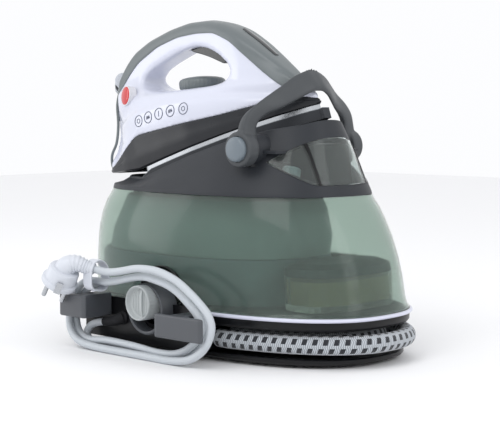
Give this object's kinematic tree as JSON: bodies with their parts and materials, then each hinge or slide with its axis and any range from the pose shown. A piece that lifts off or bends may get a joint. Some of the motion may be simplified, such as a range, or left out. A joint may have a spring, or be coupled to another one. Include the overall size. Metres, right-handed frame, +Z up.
{
  "type": "steam generator iron",
  "caption": "Steam iron resting on its water tank base, with lock handle, calc cap, cord store, plug and wrapped steam hose.",
  "frame": {"origin": "centre of the base tray's underside", "axes": "+X towards the iron's tip, along the base's length; -Y the side with the cord store and calc cap; +Z up"},
  "size_m": [0.4287, 0.2962, 0.3341],
  "materials": {
    "slate_abs": "fine satin",
    "white_abs": "gloss",
    "grey_cover": "satin",
    "handle_grey": "satin",
    "button_grey": "satin",
    "tank_smoke": "clear tinted plastic",
    "clear_pc": "clear plastic",
    "trim_white": "satin",
    "base_black": "satin",
    "hook_grey": "satin",
    "cord_pvc": "satin sheath",
    "badge_red": "gloss",
    "hose_braid": "woven braid",
    "rubber": "matte",
    "steel": "brushed",
    "brass": "plain",
    "aluminium": "cast",
    "housing_dark": "matte",
    "housing_green": "matte",
    "resin": "granules",
    "pcb_green": "matte",
    "lens_amber": "gloss",
    "smoke_lens": "gloss"
  },
  "bodies": {
    "base": {"base_tray": "base_black", "rim_trim": "trim_white", "tank_shell": "tank_smoke", "tank_floor": "housing_green", "housing_lower": "housing_dark", "housing_upper": "housing_green", "boiler": "aluminium", "drain_socket": "brass", "knob_bezel": "hook_grey", "pump": "housing_dark", "solenoid_valve": "steel", "control_board": "pcb_green", "steam_pipe": "brass", "filter_housing": "clear_pc", "resin_bed": "resin", "filter_lid": "housing_dark", "cord_panel": "base_black", "hook_left": "hook_grey", "hook_right": "hook_grey", "cord_gland": "rubber", "cord_wrap": "cord_pvc", "cord_clip": "white_abs", "plug_body": "white_abs", "plug_pin_a": "steel", "plug_pin_b": "steel", "hose_inner": "hose_braid", "hose_outer": "hose_braid", "hose_riser": "hose_braid", "foot_1": "rubber", "foot_2": "rubber", "foot_3": "rubber", "foot_4": "rubber", "collar": "slate_abs", "window_near": "clear_pc", "window_far": "clear_pc", "filler_bowl": "housing_dark", "rest_tray": "slate_abs", "pivot_boss_near": "slate_abs", "pivot_boss_far": "slate_abs", "control_panel": "slate_abs", "indicator_lens": "lens_amber"},
    "iron": {"soleplate": "steel", "heating_block": "aluminium", "skirt": "slate_abs", "iron_shell": "white_abs", "top_cover": "grey_cover", "heel_cover": "grey_cover", "lamp_lens": "smoke_lens", "badge": "badge_red", "hose_boot": "white_abs"},
    "trigger": {"trigger": "handle_grey"},
    "dial": {"dial": "grey_cover"},
    "lock_handle": {"lock_handle": "handle_grey"},
    "push_near": {"push_button_near": "button_grey"},
    "push_far": {"push_button_far": "button_grey"},
    "calc_plug": {"calc_plug": "steel"},
    "calc_knob": {"calc_knob": "hook_grey"},
    "fill_flap": {"fill_flap": "clear_pc"},
    "power_switch": {"power_switch": "base_black"},
    "steam_button": {"steam_button": "button_grey"}
  },
  "joints": [
    {"name": "iron_lift", "type": "slide", "parent": "base", "child": "iron", "axis": [-0.75, 0, 0.6614], "range_m": [0, 0.15], "deforming": ["hose_riser"]},
    {"name": "trigger_squeeze", "type": "hinge", "parent": "iron", "child": "trigger", "pos_m": [-0.02129, 0, 0.28247], "axis": [0, 1, 0], "range_deg": [0, 4], "stiffness_Nm_per_rad": 0.8},
    {"name": "dial_turn", "type": "hinge", "parent": "iron", "child": "dial", "pos_m": [-0.06003, 0, 0.25959], "axis": [-0.0706, 0, 0.9975], "range_deg": [0, 270]},
    {"name": "lock_swing", "type": "hinge", "parent": "base", "child": "lock_handle", "pos_m": [0.071, 0, 0.2], "axis": [0, 1, 0], "range_deg": [0, 30]},
    {"name": "push_near_press", "type": "slide", "parent": "lock_handle", "child": "push_near", "axis": [0, 1, 0], "range_m": [0, 0.003], "stiffness_N_per_m": 600},
    {"name": "push_far_press", "type": "slide", "parent": "lock_handle", "child": "push_far", "axis": [0, -1, 0], "range_m": [0, 0.003], "stiffness_N_per_m": 600},
    {"name": "calc_plug_travel", "type": "slide", "parent": "base", "child": "calc_plug", "axis": [0, -1, 0], "range_m": [0, 0.0081]},
    {"name": "calc_knob_turn", "type": "hinge", "parent": "calc_plug", "child": "calc_knob", "pos_m": [-0.014, -0.118, 0.052], "axis": [0, -1, 0], "range_deg": [0, 720]},
    {"name": "flap_open", "type": "hinge", "parent": "base", "child": "fill_flap", "pos_m": [0.139, 0, 0.1705], "axis": [0, 1, 0], "range_deg": [0, 45]},
    {"name": "power_press", "type": "slide", "parent": "base", "child": "power_switch", "axis": [0, -1, 0], "range_m": [0, 0.0015]},
    {"name": "steam_press", "type": "slide", "parent": "base", "child": "steam_button", "axis": [0, -1, 0], "range_m": [0, 0.002], "stiffness_N_per_m": 500}
  ],
  "couplings": [
    {"joint": "calc_plug_travel", "follows": "calc_knob_turn", "m_per_rad": 0.00063662}
  ]
}
